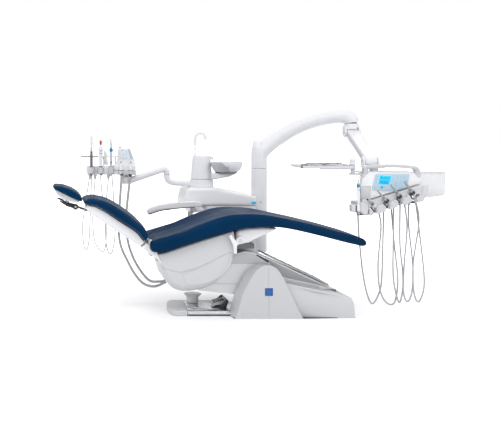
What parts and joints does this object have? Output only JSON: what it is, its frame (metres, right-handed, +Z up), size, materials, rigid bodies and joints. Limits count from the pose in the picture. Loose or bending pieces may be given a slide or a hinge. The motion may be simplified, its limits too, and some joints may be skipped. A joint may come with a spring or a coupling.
{
  "type": "dental chair",
  "caption": "Dental treatment unit: reclining patient chair on a lift arm, with spittoon unit, over-arm instrument table, tray and assistant's table.",
  "frame": {"origin": "On the floor under the base, on the chair's centre plane and below the hump of the base cover, which is the underside of the base frame.", "axes": "+Z up; +X from the head end to the patient's feet; +Y from the chair to the water unit and column."},
  "size_m": [2.4203, 0.9999, 1.2411],
  "materials": {
    "black_part": "black satin",
    "bowl_glass": "grey glazed glass",
    "clear_panel": "translucent light diffuser",
    "frame_metal": "dark grey powder coat",
    "grey_cover": "fine moulded texture",
    "hose": "matt silicone hose",
    "instrument": "satin steel",
    "panel_film": "pale blue membrane panel",
    "silver_grip": "silver grey soft touch",
    "steel": "brushed and polished",
    "upholstery": "smooth soft artificial leather, semi gloss",
    "white_metal": "smooth white powder coat",
    "white_shell": "satin moulded plastic"
  },
  "bodies": {
    "base": {"base_frame": "frame_metal", "lift_pivot_shaft": "steel", "base_cover": "white_shell", "foot_plate": "steel", "utility_riser": "white_shell", "lift_actuator": "frame_metal"},
    "pedal": {"foot_pedal": "grey_cover"},
    "lift_arm": {"lift_arm_beam": "white_metal", "lift_arm_cover": "grey_cover"},
    "seat": {"seat_frame": "frame_metal", "seat_bulb_cover": "white_shell", "seat_pan": "white_shell", "seat_cushion": "upholstery", "back_hinge_shaft": "steel", "water_unit_cover": "white_shell", "water_unit_body": "white_shell", "column_lower": "white_metal", "spittoon_post": "steel"},
    "spittoon": {"spittoon_tower": "white_shell", "bowl_bracket": "white_shell", "spittoon_bowl": "bowl_glass"},
    "filler": {"cup_filler": "silver_grip"},
    "backrest": {"backrest_frame": "frame_metal", "backrest_shell": "white_shell", "backrest_cushion": "upholstery"},
    "headrest_slide": {"headrest_bar": "black_part"},
    "headrest_tilt": {"headrest_link": "black_part"},
    "headrest": {"headrest_shell": "white_shell", "headrest_cushion": "upholstery"},
    "release_lever": {"headrest_lever": "black_part"},
    "armrest": {"armrest_far": "silver_grip"},
    "armrest_stub": {"armrest_near_stub": "white_shell"},
    "column_arm": {"curved_arm": "white_metal"},
    "yoke": {"arm_yoke": "white_metal"},
    "height_arm": {"pantograph_arm": "white_shell"},
    "level_bracket": {"table_bracket": "white_metal"},
    "doctor_table": {"table_body": "white_shell", "table_lip": "grey_cover", "table_handle": "silver_grip", "control_panel": "panel_film", "viewer_panel": "clear_panel", "table_syringe": "white_metal", "handpiece_1": "instrument", "handpiece_2": "instrument", "handpiece_3": "instrument", "handpiece_4": "instrument", "table_hoses": "hose"},
    "table_button": {"table_syringe_button": "grey_cover"},
    "tray_swing": {"tray_arm": "white_metal", "tray": "steel"},
    "assistant_lower": {"assistant_arm_lower": "white_metal"},
    "assistant_upper": {"assistant_arm_upper": "white_metal"},
    "assistant_table": {"assistant_bar": "white_shell", "assistant_panel": "white_shell", "suction_cannula": "grey_cover", "curing_light": "white_shell", "assistant_syringe": "white_metal", "assistant_hoses": "hose", "suction_hoses": "hose"},
    "assistant_button": {"assistant_syringe_button": "grey_cover"}
  },
  "joints": [
    {"name": "chair_lift", "type": "hinge", "parent": "base", "child": "lift_arm", "pos_m": [0.4, 0, 0.115], "axis": [0, 1, 0], "range_deg": [-2.5, 28], "stiffness_Nm_per_rad": 12000, "springref_deg": 10.14},
    {"name": "seat_level", "type": "hinge", "parent": "lift_arm", "child": "seat", "pos_m": [-0.36, 0, 0.25], "axis": [0, 1, 0], "range_deg": [-28, 2.5]},
    {"name": "backrest_recline", "type": "hinge", "parent": "seat", "child": "backrest", "pos_m": [-0.677, 0, 0.437], "axis": [0, 1, 0], "range_deg": [-18, 38], "stiffness_Nm_per_rad": 1500, "springref_deg": 1.69},
    {"name": "headrest_extend", "type": "slide", "parent": "backrest", "child": "headrest_slide", "axis": [-0.9382, 0, 0.3461], "range_m": [0, 0.08], "stiffness_N_per_m": 4000, "springref_m": 0.00295},
    {"name": "headrest_link_tilt", "type": "hinge", "parent": "headrest_slide", "child": "headrest_tilt", "pos_m": [-1.115, 0, 0.634], "axis": [0, 1, 0], "range_deg": [-28, 3], "stiffness_Nm_per_rad": 120, "springref_deg": 0.57},
    {"name": "headrest_pad_tilt", "type": "hinge", "parent": "headrest_tilt", "child": "headrest", "pos_m": [-1.165, 0, 0.648], "axis": [0, 1, 0], "range_deg": [-18, 5], "stiffness_Nm_per_rad": 60, "springref_deg": 0.01},
    {"name": "headrest_lever_release", "type": "hinge", "parent": "headrest_tilt", "child": "release_lever", "pos_m": [-1.165, 0, 0.648], "axis": [0, 1, 0], "range_deg": [-14, 0], "stiffness_Nm_per_rad": 3, "springref_deg": 0.1},
    {"name": "armrest_far_swing", "type": "hinge", "parent": "seat", "child": "armrest", "pos_m": [-0.163, 0.25, 0.457], "axis": [0, 1, 0], "range_deg": [-50, 0], "stiffness_Nm_per_rad": 60, "springref_deg": 2.48},
    {"name": "armrest_near_stub_swing", "type": "hinge", "parent": "seat", "child": "armrest_stub", "pos_m": [-0.163, -0.24, 0.457], "axis": [0, 1, 0], "range_deg": [-30, 0], "stiffness_Nm_per_rad": 6, "springref_deg": 0.14},
    {"name": "foot_pedal_press", "type": "hinge", "parent": "base", "child": "pedal", "pos_m": [-0.205, 0, 0.058], "axis": [0, 1, 0], "range_deg": [-6, 0], "stiffness_Nm_per_rad": 60, "springref_deg": 0.06},
    {"name": "spittoon_swivel", "type": "hinge", "parent": "seat", "child": "spittoon", "pos_m": [-0.263, 0.5, 0.775], "axis": [0, 0, 1], "range_deg": [-60, 20]},
    {"name": "cup_filler_swivel", "type": "hinge", "parent": "spittoon", "child": "filler", "pos_m": [-0.305, 0.5, 0.932], "axis": [0, 0, 1], "range_deg": [-40, 60]},
    {"name": "column_swivel", "type": "hinge", "parent": "seat", "child": "column_arm", "pos_m": [0.132, 0.55, 0.843], "axis": [0, 0, 1], "range_deg": [-15, 75]},
    {"name": "yoke_swivel", "type": "hinge", "parent": "column_arm", "child": "yoke", "pos_m": [0.733, 0.5, 1.151], "axis": [0, 0, 1], "range_deg": [-15, 60]},
    {"name": "table_height", "type": "hinge", "parent": "yoke", "child": "height_arm", "pos_m": [0.733, 0.485, 1.082], "axis": [1, 0, 0], "range_deg": [-22, 22], "stiffness_Nm_per_rad": 900, "springref_deg": -3.81},
    {"name": "table_level", "type": "hinge", "parent": "height_arm", "child": "level_bracket", "pos_m": [0.733, 0.14, 0.908], "axis": [1, 0, 0], "range_deg": [-22, 22]},
    {"name": "table_swivel", "type": "hinge", "parent": "level_bracket", "child": "doctor_table", "pos_m": [0.729, 0.07, 0.846], "axis": [0, 0, 1], "range_deg": [-30, 45], "deforming": ["table_hoses"]},
    {"name": "tray_swivel", "type": "hinge", "parent": "doctor_table", "child": "tray_swing", "pos_m": [0.576, 0, 0.846], "axis": [0, 0, 1], "range_deg": [-20, 35]},
    {"name": "table_syringe_press", "type": "slide", "parent": "doctor_table", "child": "table_button", "axis": [0, 1, 0], "range_m": [0, 0.002]},
    {"name": "assistant_lower_swivel", "type": "hinge", "parent": "seat", "child": "assistant_lower", "pos_m": [-0.263, 0.5, 0.748], "axis": [0, 0, -1], "range_deg": [-20, 60]},
    {"name": "assistant_upper_swivel", "type": "hinge", "parent": "assistant_lower", "child": "assistant_upper", "pos_m": [-0.4935, 0.5, 0.807], "axis": [0, 0, -1], "range_deg": [-20, 60]},
    {"name": "assistant_table_swivel", "type": "hinge", "parent": "assistant_upper", "child": "assistant_table", "pos_m": [-0.772, 0.45, 0.792], "axis": [0, 0, -1], "range_deg": [-45, 45], "deforming": ["assistant_hoses", "suction_hoses"]},
    {"name": "assistant_syringe_press", "type": "slide", "parent": "assistant_table", "child": "assistant_button", "axis": [0, 1, 0], "range_m": [0, 0.002]}
  ],
  "couplings": [
    {"joint": "seat_level", "follows": "chair_lift", "ratio": -1},
    {"joint": "table_level", "follows": "table_height", "ratio": -1}
  ]
}
